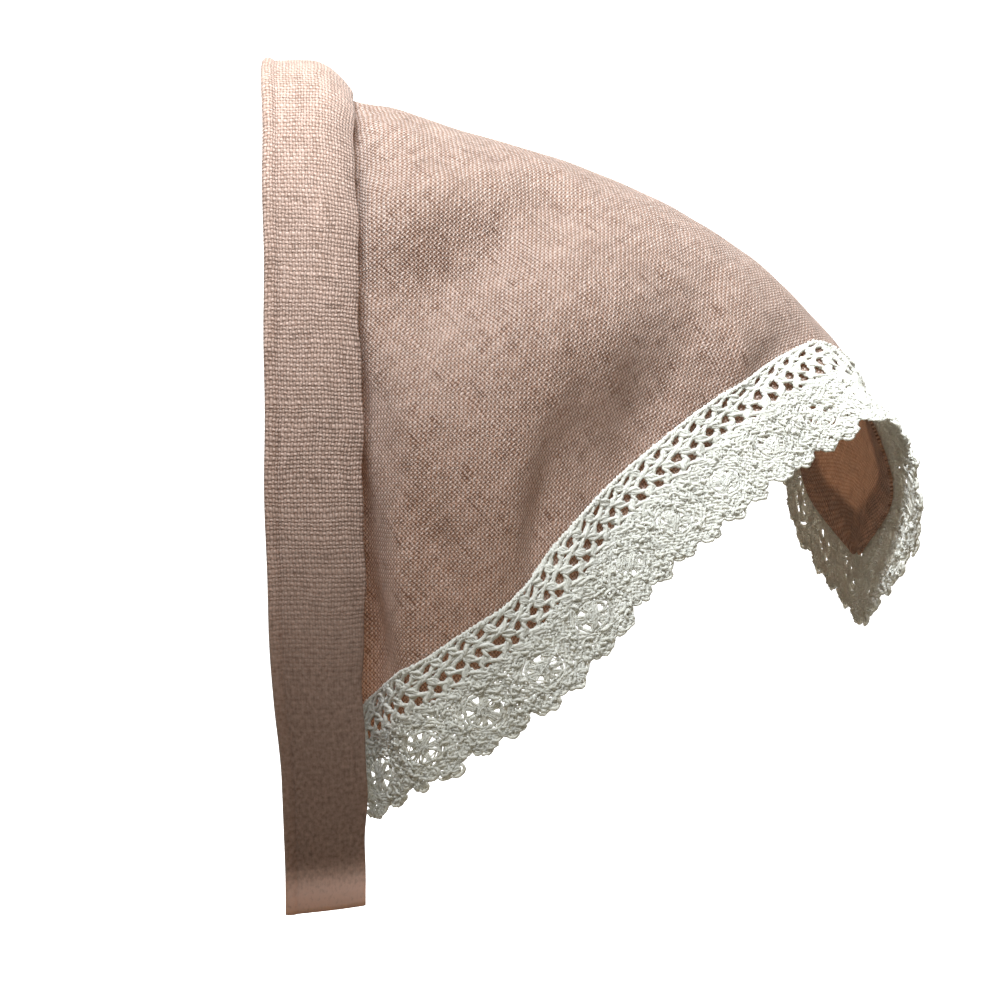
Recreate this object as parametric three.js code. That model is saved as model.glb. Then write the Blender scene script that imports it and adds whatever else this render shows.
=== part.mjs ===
// A small child's bandana headband, in the form it has when worn.
// Millimetres, +Z up. The wearer faces -Y and the wearer's left is +X.
// The origin is the inside of the band at the top of the head.
import * as THREE from "three";

// Driving sizes
const CLOTH_THICK = 1.2;
const BAND_THICK = 2.4;
const LACE_THICK = 1.0;
const LAY_GAP = 0.5;
const CLOTH_HALF_BASE = 214;
const CLOTH_DEPTH = 234;
const TIP_TWIST = 0.1;
const TIP_TWIST_FROM = 0.72;
const LACE_LAP = 10.5;
const LACE_FREE = 17.0;
const SCALLOP = 2.0;
const LACE_REPEATS = 15;
const LACE_START = 11;
const MITRE_SLOPE = 0.66;
const MITRE_REACH = 1.6;
const HANG_EVENED = 14;
const BEND_FLARE = 0.34;
const BEND_AT = 0.86;
const BEND_SPREAD = 0.07;
const START_LIFT = 0.7;
const START_LIFT_LENGTH = 26;

// How finely each wall is divided
const CROWN_ROWS = 26;
const CROWN_COLUMNS = 18;
const CROWN_ROW_SPREAD = 1.25;
const BAND_STEPS = 28;
const LACE_COLUMNS = 6;
const WALK_STEPS = 6;
const HEM_STEPS = 240;
const STEP = 1e-3;

// A table from its column names and its rows.
function table(columns, ...rows) {
  return rows.map((row) => Object.fromEntries(row.map((value, i) => [columns[i], value])));
}

// The crown panel, a row for each section from the band (share 0) to the point (share 1).
// A section starts on the centre line at (back, up), leaves it level for the length round,
// and comes down to the hem at (hem_out, hem_back, hem_up) from the side (out, back, up) above it.
const CROWN_SECTIONS = table(
  ["share", "back", "up", "round", "hem_out", "hem_back", "hem_up", "side_out", "side_back", "side_up"],
  [0.00, 4.0, -1.2, 43.8, 57.2, 12, -186, 7.3, -2, 146],
  [0.06, 19, -7.8, 42, 46, 23, -182, 15, -1, 132],
  [0.13, 33, -10.0, 43, 58, 35, -172, 14, 0, 116],
  [0.22, 52, -16.2, 44, 64.5, 51, -161, 10, 1, 104],
  [0.34, 79, -23.2, 43, 66, 67, -149, 6, 5, 90],
  [0.47, 107, -33.6, 39, 63.5, 88, -127, 2, 9, 64],
  [0.60, 131, -48.8, 33, 57, 114, -106.5, 0, 8, 38],
  [0.72, 151, -66.4, 27, 47, 136, -91, -2, 6, 14],
  [0.80, 161.5, -80.5, 21, 39, 150, -86.5, -7, 6, 2],
  [0.88, 166, -97, 14, 30.5, 160.5, -98, -10, 3, 0],
  [0.94, 169, -112, 10, 28, 166.5, -118, -9, 1, 1],
  [1.00, 169, -134, 0.7, 2, 169, -135, -0.7, 0, 0.3],
);

// Soft folds, each along a line on the flat panel: across from its centre line, back from the band.
// A hollow has a negative height. Side 1 is the wearer's left, side -1 the right.
// A fold has FOLD_END of its height at its two ends, and dies out towards the centre line.
const FOLD_END = 0.37;
const FOLD_CLEAR = 12;
const FOLDS = table(
  ["side", "from_across", "from_back", "to_across", "to_back", "spread", "height"],
  [1, 92, 20, 44, 62, 10, -2.6],
  [1, 58, 150, 96, 92, 19, -5.5],
  [1, 96, 92, 146, 62, 11, -4.0],
  [1, 60, 108, 120, 40, 15, 2.6],
  [1, 34, 176, 60, 150, 8, -2.2],
  [1, 168, 40, 150, 34, 9, -2.4],
  [-1, 88, 24, 46, 70, 12, -2.4],
  [-1, 62, 142, 104, 84, 18, -4.6],
  [-1, 70, 104, 128, 40, 15, 2.2],
);

// The band from the top of the head (share 0) to the end of a strap (share 1):
// its front and rear edges, and how far its rear edge rolls in over the panel.
const BAND_SECTIONS = table(
  ["share", "front", "rear", "roll"],
  [0.00, -4.1, 20.0, 6.2],
  [0.24, -2.6, 20.2, 4.6],
  [0.42, -1.9, 21.0, 3.2],
  [0.64, -1.4, 22.0, 2.6],
  [0.80, 0.5, 21.9, 2.0],
  [0.88, 2.6, 22.5, 1.2],
  [1.00, 3.4, 22.6, 0.6],
);
const BAND_TOP = BAND_THICK / 2;
const BAND_HALF_WIDTH = 60;
const ARCH_ROUND = 46;
const ARCH_BULGE = 7;
const ARCH_SHOULDER_UP = -38;
const BAND_EAR_UP = -186;
const STRAP_END_UP = -220;
const STRAP_LEAN = 1.4;
const STRAP_END_SLANT = 1.6;
const STRAP_SLANT_FROM = 0.86;

// Across the band from its front edge: a sewn ridge, then a flat face.
const BAND_ACROSS = table(
  ["share", "raise"],
  [0.00, 0.1],
  [0.08, 0.6],
  [0.14, 0.0],
  [0.42, 0.2],
  [0.68, 0.2],
  [0.86, 0.1],
  [1.00, 0.0],
);
const ROLL_FROM = 0.55;

// Across the lace, from the header cord on the cloth to the scalloped edge below the hem.
const LACE_LINES = [-LACE_LAP, -8.3, -4.2, 3.2, 10.6, 13.4, LACE_FREE];
const MESH_STRIP = 1;
const WHEEL_STRIP = 3;
const WHEEL_COLUMNS = [2, 3];

// A smooth curve through the rows of a table, read at a share between them.
function between(sections, share) {
  const keys = Object.keys(sections[0]);
  const last = sections.length - 1;
  let i = 0;
  while (i < last - 1 && share >= sections[i + 1].share) i += 1;
  const slope = (row, key) => {
    const a = sections[Math.max(row - 1, 0)];
    const b = sections[Math.min(row + 1, last)];
    return (b[key] - a[key]) / (b.share - a.share);
  };
  const span = sections[i + 1].share - sections[i].share;
  const t = (share - sections[i].share) / span;
  const read = {};
  for (const key of keys) {
    const start = (2 * t ** 3 - 3 * t ** 2 + 1) * sections[i][key];
    const end = (3 * t ** 2 - 2 * t ** 3) * sections[i + 1][key];
    const leave = (t ** 3 - 2 * t ** 2 + t) * span * slope(i, key);
    const arrive = (t ** 3 - t ** 2) * span * slope(i + 1, key);
    read[key] = start + end + leave + arrive;
  }
  return read;
}

function smooth(from, to, x) {
  return THREE.MathUtils.smoothstep(x, from, to);
}

// A point of the panel before its folds. Across is 0 on the centre line and 1 at the hem.
function plainPanel(side, share, across) {
  const row = between(CROWN_SECTIONS, share);
  const centre = new THREE.Vector3(0, row.back, row.up);
  const leaving = new THREE.Vector3(row.round, row.back, row.up);
  const hem = new THREE.Vector3(row.hem_out, row.hem_back, row.hem_up);
  const above = new THREE.Vector3(row.side_out, row.side_back, row.side_up).add(hem);
  const section = new THREE.CubicBezierCurve3(centre, leaving, above, hem);
  const point = section.getPoint(across);
  point.x *= side;
  point.y += TIP_TWIST * smooth(TIP_TWIST_FROM, 1, share) * point.x;
  return point;
}

function foldHeight(side, share, across) {
  const out = across * CLOTH_HALF_BASE * (1 - share);
  const back = share * CLOTH_DEPTH;
  let height = 0;
  for (const fold of FOLDS) {
    if (fold.side !== side) continue;
    const run_out = fold.to_across - fold.from_across;
    const run_back = fold.to_back - fold.from_back;
    const from_out = out - fold.from_across;
    const from_back = back - fold.from_back;
    const along = (from_out * run_out + from_back * run_back) / (run_out ** 2 + run_back ** 2);
    const near = THREE.MathUtils.clamp(along, 0, 1);
    const off = Math.hypot(from_out - near * run_out, from_back - near * run_back);
    const fade = THREE.MathUtils.lerp(FOLD_END, 1, Math.sin(Math.PI * near));
    height += fold.height * fade * Math.exp(-((off / fold.spread) ** 2));
  }
  return height * smooth(0, FOLD_CLEAR, out);
}

// The way out of the cloth at a point of a surface, from two short steps on it.
function outward(surface, side, share, across) {
  const from = Math.min(share, 1 - STEP);
  const here = surface(side, from, across);
  const along = surface(side, from + STEP, across).sub(here);
  const over = surface(side, from, across + STEP).sub(here);
  return over.cross(along).multiplyScalar(side).normalize();
}

function panel(side, share, across) {
  const point = plainPanel(side, share, across);
  const height = foldHeight(side, share, across);
  return point.addScaledVector(outward(plainPanel, side, share, across), height);
}

// A closed wall from a grid of places. Each place gives its outer and inner point.
// Cells that are open are left out, and every free edge is closed with a rim.
function wall(columns, rows, place, open = () => false) {
  const points = [];
  const faces = [];
  for (let j = 0; j <= rows; j += 1) {
    for (let i = 0; i <= columns; i += 1) {
      const { outer, inner } = place(i, j);
      points.push(...outer.toArray(), ...inner.toArray());
    }
  }
  const at = (i, j, skin) => 2 * (j * (columns + 1) + i) + skin;
  const solid = (i, j) => i >= 0 && j >= 0 && i < columns && j < rows && !open(i, j);
  const quad = (a, b, c, d) => faces.push(a, b, c, a, c, d);
  const rim = (i, j, k, l) => quad(at(i, j, 0), at(i, j, 1), at(k, l, 1), at(k, l, 0));
  for (let j = 0; j < rows; j += 1) {
    for (let i = 0; i < columns; i += 1) {
      if (!solid(i, j)) continue;
      quad(at(i, j, 0), at(i + 1, j, 0), at(i + 1, j + 1, 0), at(i, j + 1, 0));
      quad(at(i, j, 1), at(i, j + 1, 1), at(i + 1, j + 1, 1), at(i + 1, j, 1));
      if (!solid(i, j - 1)) rim(i, j, i + 1, j);
      if (!solid(i + 1, j)) rim(i + 1, j, i + 1, j + 1);
      if (!solid(i, j + 1)) rim(i + 1, j + 1, i, j + 1);
      if (!solid(i - 1, j)) rim(i, j + 1, i, j);
    }
  }
  const geometry = new THREE.BufferGeometry();
  geometry.setAttribute("position", new THREE.Float32BufferAttribute(points, 3));
  geometry.setIndex(faces);
  geometry.computeVertexNormals();
  return geometry;
}

function skins(middle, way, thick) {
  const outer = middle.clone().addScaledVector(way, thick / 2);
  const inner = middle.clone().addScaledVector(way, -thick / 2);
  return { outer, inner };
}

// The crown panel, from the right hem over the centre line to the left hem.
function crown() {
  const place = (i, j) => {
    const across = (i - CROWN_COLUMNS) / CROWN_COLUMNS;
    const side = across < 0 ? -1 : 1;
    const share = (j / CROWN_ROWS) ** CROWN_ROW_SPREAD;
    const middle = panel(side, share, Math.abs(across));
    const way = outward(panel, side, share, Math.abs(across));
    return skins(middle, way, CLOTH_THICK);
  };
  return wall(2 * CROWN_COLUMNS, CROWN_ROWS, place);
}

// The band's arch, then the straight strap below the ear.
const arch = new THREE.CubicBezierCurve3(
  new THREE.Vector3(0, 0, BAND_TOP),
  new THREE.Vector3(ARCH_ROUND, 0, BAND_TOP),
  new THREE.Vector3(BAND_HALF_WIDTH + ARCH_BULGE, 0, ARCH_SHOULDER_UP),
  new THREE.Vector3(BAND_HALF_WIDTH, 0, BAND_EAR_UP),
);
const strap = new THREE.LineCurve3(
  new THREE.Vector3(BAND_HALF_WIDTH, 0, BAND_EAR_UP),
  new THREE.Vector3(BAND_HALF_WIDTH - STRAP_LEAN, 0, STRAP_END_UP),
);
const bandPath = new THREE.CurvePath();
bandPath.add(arch);
bandPath.add(strap);

function band() {
  const columns = BAND_ACROSS.length - 1;
  const place = (i, j) => {
    const side = j < BAND_STEPS ? 1 : -1;
    const share = Math.abs(j - BAND_STEPS) / BAND_STEPS;
    const edges = between(BAND_SECTIONS, share);
    const spot = bandPath.getPointAt(share);
    const run = bandPath.getTangentAt(share);
    const way = new THREE.Vector3(-run.z, 0, run.x);
    const lip = Math.max(BAND_ACROSS[i].share - ROLL_FROM, 0) / (1 - ROLL_FROM);
    spot.addScaledVector(way, BAND_ACROSS[i].raise - edges.roll * lip ** 2);
    spot.y = THREE.MathUtils.lerp(edges.front, edges.rear, BAND_ACROSS[i].share);
    const slant = STRAP_END_SLANT * smooth(STRAP_SLANT_FROM, 1, share);
    spot.z += slant * (BAND_ACROSS[i].share - 0.5);
    const lean = 2 * edges.roll * lip / ((1 - ROLL_FROM) * (edges.rear - edges.front));
    way.y = lean;
    way.normalize();
    spot.x *= side;
    way.x *= side;
    return skins(spot, way, BAND_THICK);
  };
  return wall(columns, 2 * BAND_STEPS, place);
}

// The hem as a path, so that lengths along it can be read. At each step it holds
// the run of the hem and the way the lace hangs from it, evened out around bends.
function hemPath(side) {
  const steps = [];
  for (let i = 0; i <= HEM_STEPS; i += 1) {
    const share = THREE.MathUtils.lerp(2 * STEP, 1 - 2 * STEP, i / HEM_STEPS);
    const point = panel(side, share, 1);
    const run = panel(side, share + STEP, 1).sub(panel(side, share - STEP, 1)).normalize();
    const over = point.clone().sub(panel(side, share, 1 - STEP));
    const hang = over.addScaledVector(run, -over.dot(run)).normalize();
    const length = i === 0 ? 0 : steps[i - 1].length + point.distanceTo(steps[i - 1].point);
    steps.push({ share, point, run, hang, length });
  }
  for (const step of steps) {
    step.even = new THREE.Vector3();
    for (const other of steps) {
      const away = Math.abs(other.length - step.length) / HANG_EVENED;
      step.even.addScaledVector(other.hang, Math.exp(-(away ** 2)));
    }
    step.even.normalize();
  }
  return steps;
}

function hemAt(steps, length) {
  let i = 1;
  while (i < HEM_STEPS && steps[i].length < length) i += 1;
  const a = steps[i - 1];
  const b = steps[i];
  const part = Math.min((length - a.length) / (b.length - a.length), 1);
  const share = THREE.MathUtils.lerp(a.share, b.share, part);
  const run = a.run.clone().lerp(b.run, part).normalize();
  const even = a.even.clone().lerp(b.even, part).normalize();
  return { share, run, even };
}

// A walk over the cloth from its hem, straight in by a length, in short steps.
function walkIn(side, share, start, length) {
  const at = { share, across: 1 - STEP };
  const heading = start.clone().negate();
  for (let i = 0; i < WALK_STEPS; i += 1) {
    const here = panel(side, at.share, at.across);
    const along = panel(side, at.share + STEP, at.across).sub(here).divideScalar(STEP);
    const over = here.sub(panel(side, at.share, at.across - STEP)).divideScalar(STEP);
    const a = along.lengthSq();
    const b = along.dot(over);
    const c = over.lengthSq();
    const p = along.dot(heading);
    const q = over.dot(heading);
    const reach = length / WALK_STEPS / (a * c - b * b);
    const move_share = (c * p - b * q) * reach;
    const move_across = (a * q - b * p) * reach;
    heading.copy(along.multiplyScalar(move_share)).addScaledVector(over, move_across).normalize();
    at.share = THREE.MathUtils.clamp(at.share + move_share, 0, 1 - 2 * STEP);
    at.across = THREE.MathUtils.clamp(at.across + move_across, 2 * STEP, 1 - STEP);
  }
  return at;
}

// A place in the lace: how far along the hem, and how far past it.
// It lies on the cloth above the hem and goes on straight below it. Around the hem's
// bend at the back, where the hem is shorter than the lace's edge, it stands out a little.
function lacePlace(side, steps, length, past) {
  const total = steps[HEM_STEPS].length;
  const { share, run, even } = hemAt(steps, Math.min(length, total));
  const middle = panel(side, share, 1);
  const way = outward(panel, side, share, 1 - STEP);
  if (past > 0) {
    const flare = BEND_FLARE * Math.exp(-(((share - BEND_AT) / BEND_SPREAD) ** 2));
    middle.addScaledVector(even.addScaledVector(way, flare).normalize(), past);
  } else if (past < 0) {
    const on = walkIn(side, share, even, -past);
    middle.copy(panel(side, on.share, on.across));
    way.copy(outward(panel, side, on.share, on.across));
  }
  middle.addScaledVector(run, Math.max(length - total, 0));
  const groove = START_LIFT * (1 - smooth(LACE_START, LACE_START + START_LIFT_LENGTH, length));
  const lift = CLOTH_THICK / 2 + LAY_GAP + LACE_THICK / 2 + groove;
  return skins(middle.addScaledVector(way, lift), way, LACE_THICK);
}

function lace(side) {
  const steps = hemPath(side);
  const total = steps[HEM_STEPS].length;
  const columns = LACE_REPEATS * LACE_COLUMNS;
  const rows = LACE_LINES.length - 1;
  const place = (i, j) => {
    const turn = (i / LACE_COLUMNS) % 1;
    const edge = j === rows ? SCALLOP * Math.cos(2 * Math.PI * (turn - 0.5)) : 0;
    const past = LACE_LINES[j] + edge;
    const end = total + past * MITRE_SLOPE + MITRE_REACH;
    const length = THREE.MathUtils.lerp(LACE_START, end, i / columns);
    return lacePlace(side, steps, length, past);
  };
  const turned = (i, j) => place(side > 0 ? columns - i : i, j);
  const open = (i, j) => {
    const column = (side > 0 ? columns - 1 - i : i) % LACE_COLUMNS;
    if (j === MESH_STRIP) return column % 2 === 1;
    return j === WHEEL_STRIP && WHEEL_COLUMNS.includes(column);
  };
  return wall(columns, rows, turned, open);
}

const linen = { color: 0xc8a493, roughness: 0.92, metalness: 0 };
const cotton = { color: 0xe8e6da, roughness: 0.9, metalness: 0 };

const headband = new THREE.Group();
headband.name = "bandana_headband";

function add(name, geometry, look, slot) {
  const material = new THREE.MeshStandardMaterial(look);
  material.name = slot;
  const mesh = new THREE.Mesh(geometry, material);
  mesh.name = name;
  headband.add(mesh);
}

add("front_band", band(), linen, "band_linen");
add("crown", crown(), linen, "crown_linen");
add("lace_left", lace(1), cotton, "left_lace_cotton");
add("lace_right", lace(-1), cotton, "right_lace_cotton");

export default headband;
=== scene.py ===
# %% [markdown]
# This lesson dresses a small child's bandana headband. A folded linen band goes over the head
# from ear to ear, a triangle of the same linen covers the crown and hangs to a point behind,
# and cotton lace is sewn along the triangle's two short edges. The solid parts are already
# there as a fixed frame. Each of them is soft on the real thing, so each one gets a piece of
# cloth or lace of the same form here, with a finish of its own.

import math

import bmesh
import bpy
import numpy as np
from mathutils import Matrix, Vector


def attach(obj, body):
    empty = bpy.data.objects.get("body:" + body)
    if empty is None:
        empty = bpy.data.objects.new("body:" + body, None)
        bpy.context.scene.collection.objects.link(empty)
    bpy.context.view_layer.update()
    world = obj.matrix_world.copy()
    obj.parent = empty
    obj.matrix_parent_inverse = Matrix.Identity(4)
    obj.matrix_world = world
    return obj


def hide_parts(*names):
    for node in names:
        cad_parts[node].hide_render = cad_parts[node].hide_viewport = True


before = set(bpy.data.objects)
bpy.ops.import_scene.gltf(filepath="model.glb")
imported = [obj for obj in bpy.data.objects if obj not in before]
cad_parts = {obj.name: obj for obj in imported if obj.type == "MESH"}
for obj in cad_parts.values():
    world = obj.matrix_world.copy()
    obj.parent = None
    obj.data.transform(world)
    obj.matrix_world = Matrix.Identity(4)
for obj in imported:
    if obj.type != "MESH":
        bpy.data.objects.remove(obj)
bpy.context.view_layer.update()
MM = 0.001
print("frame nodes:", sorted(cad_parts))

# %% [markdown]
# The camera stands level at the wearer's left, a little behind the ear, as the eye does in the
# picture that the piece is made from. A lens of about 57 mm on a 36 mm sensor gives the same
# perspective at this distance, so the near lace looks larger than the far lace.

# %% The camera
CAMERA_PLACE = Vector((0.450, 0.008, -0.119))
CAMERA_AZIMUTH = math.radians(83.0)
CAMERA_LENS = 57.02

camera = bpy.data.objects.new("camera", bpy.data.cameras.new("camera"))
camera.data.lens = CAMERA_LENS
camera.data.sensor_width = 36.0
camera.location = CAMERA_PLACE
looking = Vector((-math.sin(CAMERA_AZIMUTH), math.cos(CAMERA_AZIMUTH), 0.0))
camera.rotation_euler = looking.to_track_quat("-Z", "Y").to_euler()
bpy.context.scene.collection.objects.link(camera)
bpy.context.scene.camera = camera
print("camera looks along", [round(x, 3) for x in looking])

# %% [markdown]
# A draped triangle could be simulated, but the folds of the real one are known, so its form is
# written down instead. Every row of the first table is one section across the cloth, from the
# band (share 0) to the point (share 1), in millimetres: where it starts on the centre line, how
# far it runs level, where its hem hangs and from which side it comes down to it. A smooth curve
# runs through the rows, and all points of a mesh are read from it at once.

# %% The sections of the crown
def table(columns, *rows):
    """Rows of numbers under named columns."""
    return {name: np.array(column, float) for name, column in zip(columns.split(), zip(*rows))}


CLOTH_HALF_BASE = 214.0
CLOTH_DEPTH = 234.0
TIP_TWIST = 0.1
TIP_TWIST_FROM = 0.72
CROWN_SECTIONS = table(
    "share back up round hem_out hem_back hem_up side_out side_back side_up",
    (0.00, 4.0, -1.2, 43.8, 57.2, 12, -186, 7.3, -2, 146),
    (0.06, 19, -7.8, 42, 46, 23, -182, 15, -1, 132),
    (0.13, 33, -10.0, 43, 58, 35, -172, 14, 0, 116),
    (0.22, 52, -16.2, 44, 64.5, 51, -161, 10, 1, 104),
    (0.34, 79, -23.2, 43, 66, 67, -149, 6, 5, 90),
    (0.47, 107, -34.2, 39, 63.5, 88, -127, 2, 9, 64),
    (0.60, 131, -47.8, 33, 57, 114, -106.5, 0, 8, 38),
    (0.72, 151, -66.0, 27, 47, 136, -91, -2, 6, 14),
    (0.80, 161.5, -79.8, 21, 39, 150, -86.5, -7, 6, 2),
    (0.88, 166, -97, 14, 30.5, 160.5, -98, -10, 3, 0),
    (0.94, 169, -112, 10, 28, 166.5, -118, -9, 1, 1),
    (1.00, 169, -134, 0.7, 2, 169, -135, -0.7, 0, 0.3),
)


def between(sections, share):
    """A smooth curve through the rows of a table, read at many shares."""
    at = sections["share"]
    row = np.arange(len(at))
    low, high = np.maximum(row - 1, 0), np.minimum(row + 1, len(at) - 1)
    i = np.clip(np.searchsorted(at, share, side="right") - 1, 0, len(at) - 2)
    span = at[i + 1] - at[i]
    t = (share - at[i]) / span
    read = {}
    for name, value in sections.items():
        slope = (value[high] - value[low]) / (at[high] - at[low])
        start = (2 * t**3 - 3 * t**2 + 1) * value[i]
        end = (3 * t**2 - 2 * t**3) * value[i + 1]
        leave = (t**3 - 2 * t**2 + t) * span * slope[i]
        arrive = (t**3 - t**2) * span * slope[i + 1]
        read[name] = start + end + leave + arrive
    return read


def smooth(start, end, x):
    """0 before start, 1 after end, and a soft step between them."""
    t = np.clip((x - start) / (end - start), 0, 1)
    return t * t * (3 - 2 * t)


def unit(vectors):
    return vectors / np.linalg.norm(vectors, axis=-1, keepdims=True)


def plain_panel(side, share, across):
    """Points of the panel before its folds. Across is 0 on the centre line and 1 at the hem."""
    row = between(CROWN_SECTIONS, share)
    centre = np.stack([0 * share, row["back"], row["up"]], -1)
    leaving = np.stack([row["round"], row["back"], row["up"]], -1)
    hem = np.stack([row["hem_out"], row["hem_back"], row["hem_up"]], -1)
    above = hem + np.stack([row["side_out"], row["side_back"], row["side_up"]], -1)
    a = across[..., None]
    b = 1 - a
    point = b**3 * centre + 3 * a * b**2 * leaving + 3 * a**2 * b * above + a**3 * hem
    point[..., 0] *= side
    point[..., 1] += TIP_TWIST * smooth(TIP_TWIST_FROM, 1, share) * point[..., 0]
    return point


print("crown sections:", len(CROWN_SECTIONS["share"]))

# %% [markdown]
# Soft folds lie on that form like strokes of a sculpting brush. Each stroke is a line on the
# flat cloth with a spread and a height, and it moves the cloth along its own outward direction.
# The first strokes are the large hollows and ridges of the solid part. The finer strokes and the
# small crumples are only here, because cloth this fine would need too many faces in a solid.

# %% The folds of the crown
FOLD_END = 0.37
FOLD_CLEAR = 12.0
STEP = 1e-3
FOLDS = table(
    "side from_across from_back to_across to_back spread height",
    (1, 92, 20, 44, 62, 10, -2.6),
    (1, 58, 150, 96, 92, 19, -5.5),
    (1, 96, 92, 146, 62, 11, -4.0),
    (1, 60, 108, 120, 40, 15, 2.6),
    (1, 34, 176, 60, 150, 8, -2.2),
    (1, 168, 40, 150, 34, 9, -2.4),
    (-1, 88, 24, 46, 70, 12, -2.4),
    (-1, 62, 142, 104, 84, 18, -4.6),
    (-1, 70, 104, 128, 40, 15, 2.2),
)
FINE_FOLDS = table(
    "side from_across from_back to_across to_back spread height",
    (1, 142, 12, 62, 76, 11, -8.5),
    (1, 116, 6, 46, 66, 11, 3.6),
    (1, 64, 116, 118, 66, 11, 4.8),
    (1, 110, 76, 152, 54, 8, 2.8),
    (1, 84, 134, 132, 82, 17, -8.0),
    (1, 122, 78, 146, 64, 5, -1.6),
    (1, 74, 130, 48, 142, 9, 2.2),
    (1, 96, 134, 40, 164, 7, -2.2),
    (1, 112, 14, 150, 15, 10, 5.0),
    (1, 152, 22, 140, 44, 18, 2.6),
    (1, 150, 26, 188, 31, 7, 2.4),
    (1, 166, 13, 198, 15, 7, -4.6),
    (1, 40, 15.5, 168, 12.5, 3.4, -4.0),
    (-1, 134, 16, 66, 72, 12, -4.6),
    (-1, 68, 114, 116, 68, 12, 3.2),
    (-1, 88, 130, 130, 86, 16, -4.6),
    (-1, 150, 24, 142, 46, 18, 2.6),
    (-1, 40, 15.5, 168, 12.5, 3.4, -3.0),
)


def fold_height(strokes, side, share, across):
    """How far the strokes lift the cloth at each point."""
    out = across * CLOTH_HALF_BASE * (1 - share)
    back = share * CLOTH_DEPTH
    height = np.zeros_like(out)
    for stroke in zip(*strokes.values()):
        on, from_out, from_back, to_out, to_back, spread, lift = stroke
        run_out, run_back = to_out - from_out, to_back - from_back
        along = (out - from_out) * run_out + (back - from_back) * run_back
        near = np.clip(along / (run_out**2 + run_back**2), 0, 1)
        off = np.hypot(out - from_out - near * run_out, back - from_back - near * run_back)
        fade = FOLD_END + (1 - FOLD_END) * np.sin(math.pi * near) ** 2
        height += np.where(side == on, lift * fade * np.exp(-((off / spread) ** 2)), 0)
    return height * smooth(0, FOLD_CLEAR, out)


def outward(surface, side, share, across):
    """The way out of the cloth, from two short steps on it."""
    start = np.minimum(share, 1 - STEP)
    here = surface(side, start, across)
    along = surface(side, start + STEP, across) - here
    over = surface(side, start, across + STEP) - here
    return unit(np.cross(over, along) * side[..., None])


def panel(side, share, across):
    """Points of the panel with its folds, which the lace lies on as well."""
    place = side, share, across
    lift = fold_height(FOLDS, *place) + fold_height(FINE_FOLDS, *place)
    return plain_panel(*place) + lift[..., None] * outward(plain_panel, *place)


print("fold strokes:", len(FOLDS["side"]), "and", len(FINE_FOLDS["side"]), "finer ones")

# %% [markdown]
# Shader maths reads best as ordinary sums. This small class wraps a socket of a material, so
# that `1 - mask` or `height * 2` adds the Math node it needs. One method makes any other node
# from its type, its settings, which are set first, and its sockets.

# %% A socket that does sums
class Wire:
    def __init__(self, tree, socket=None):
        self.tree = tree
        self.socket = socket

    def make(self, kind, settings=None, sockets=None, out=0):
        node = self.tree.nodes.new(kind)
        for name, value in (settings or {}).items():
            setattr(node, name, value)
        for key, value in (sockets or {}).items():
            if isinstance(value, Wire):
                self.tree.links.new(value.socket, node.inputs[key])
            else:
                node.inputs[key].default_value = value
        return Wire(self.tree, node.outputs[out] if len(node.outputs) else None)

    def math(self, operation, *values):
        return self.make("ShaderNodeMath", {"operation": operation}, dict(enumerate(values)))

    def mix(self, share, first, second):
        """A colour between two colours. The node keeps the share from 0 to 1."""
        sockets = {0: share, 6: first, 7: second}
        return self.make("ShaderNodeMix", {"data_type": "RGBA"}, sockets, 2)

    def step(self, value, start, end, top=1.0):
        """0 before start, top after end, and a soft step between them."""
        sockets = {"Value": value, "From Min": start, "From Max": end, "To Max": top}
        return self.make("ShaderNodeMapRange", {"interpolation_type": "SMOOTHSTEP"}, sockets)

    def __add__(self, other):
        return self.math("ADD", self, other)

    def __sub__(self, other):
        return self.math("SUBTRACT", self, other)

    def __rsub__(self, other):
        return self.math("SUBTRACT", other, self)

    def __mul__(self, other):
        return self.math("MULTIPLY", self, other)

    def __truediv__(self, other):
        return self.math("DIVIDE", self, other)

    def __pow__(self, other):
        return self.math("POWER", self, other)

    def __abs__(self):
        return self.math("ABSOLUTE", self)


def blank_material(name):
    """A new material with no nodes, and a wire to start from."""
    material = bpy.data.materials.new(name)
    material.use_nodes = True
    material.node_tree.nodes.clear()
    return material, Wire(material.node_tree)


print("shader sums are ready")

# %% [markdown]
# The linen is a plain weave of slubby yarn: each thread goes over one thread and under the next,
# some are thicker than others, and painted shade darkens the gaps between them. A picture of cloth
# would do, but the weave can be worked out from the place on the flat cloth: two sine waves whose
# product says which thread is on top. The UV map of each piece holds that place in metres, so the
# threads follow the cloth round every fold. Towards the strap ends the weave is smoothed and the
# colour painted darker, as painted shade, and the hem at the very end is painted paler, as painted
# light. A little light comes through the cloth, warm and brown.

# %% The linen finish
GRAIN = "grain"
CROWN_YARN = (0.93, 0.78, 0.715, 1.0)
# The band is the crown's linen; its yarn is painted warmer and darker, as painted light reflected
# between its folded layers.
BAND_YARN_PAINTED_WARM = (0.94, 0.715, 0.625, 1.0)
YARN_DARK = (0.51, 0.36, 0.29, 1.0)
# The gap colour is painted shade between the threads.
PAINTED_GAP_SHADE = (0.10, 0.055, 0.038, 1.0)
THROUGH_LIGHT = (0.66, 0.45, 0.32, 1.0)
WEAVE_DEPTH = 0.30 * MM
WARP_DRIFT_SCALE = 95.0
WEFT_DRIFT_SCALE = 80.0
WAVER_SCALE = 330.0
CROWD_SCALE = 240.0
FIBRE_SCALE = 5200.0
PATCH_SCALE = 28.0
FUZZ_SCALE = 900.0
THREAD_ROUND = 0.75
STRAP_SHADE_OVER = 70.0
STRAP_SHADE_SHARE = 0.92
STRAP_SHADE_COVER = 0.46
HEM_LIGHT_FROM = 98.0
HEM_LIGHT_FULL = 107.5


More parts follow.
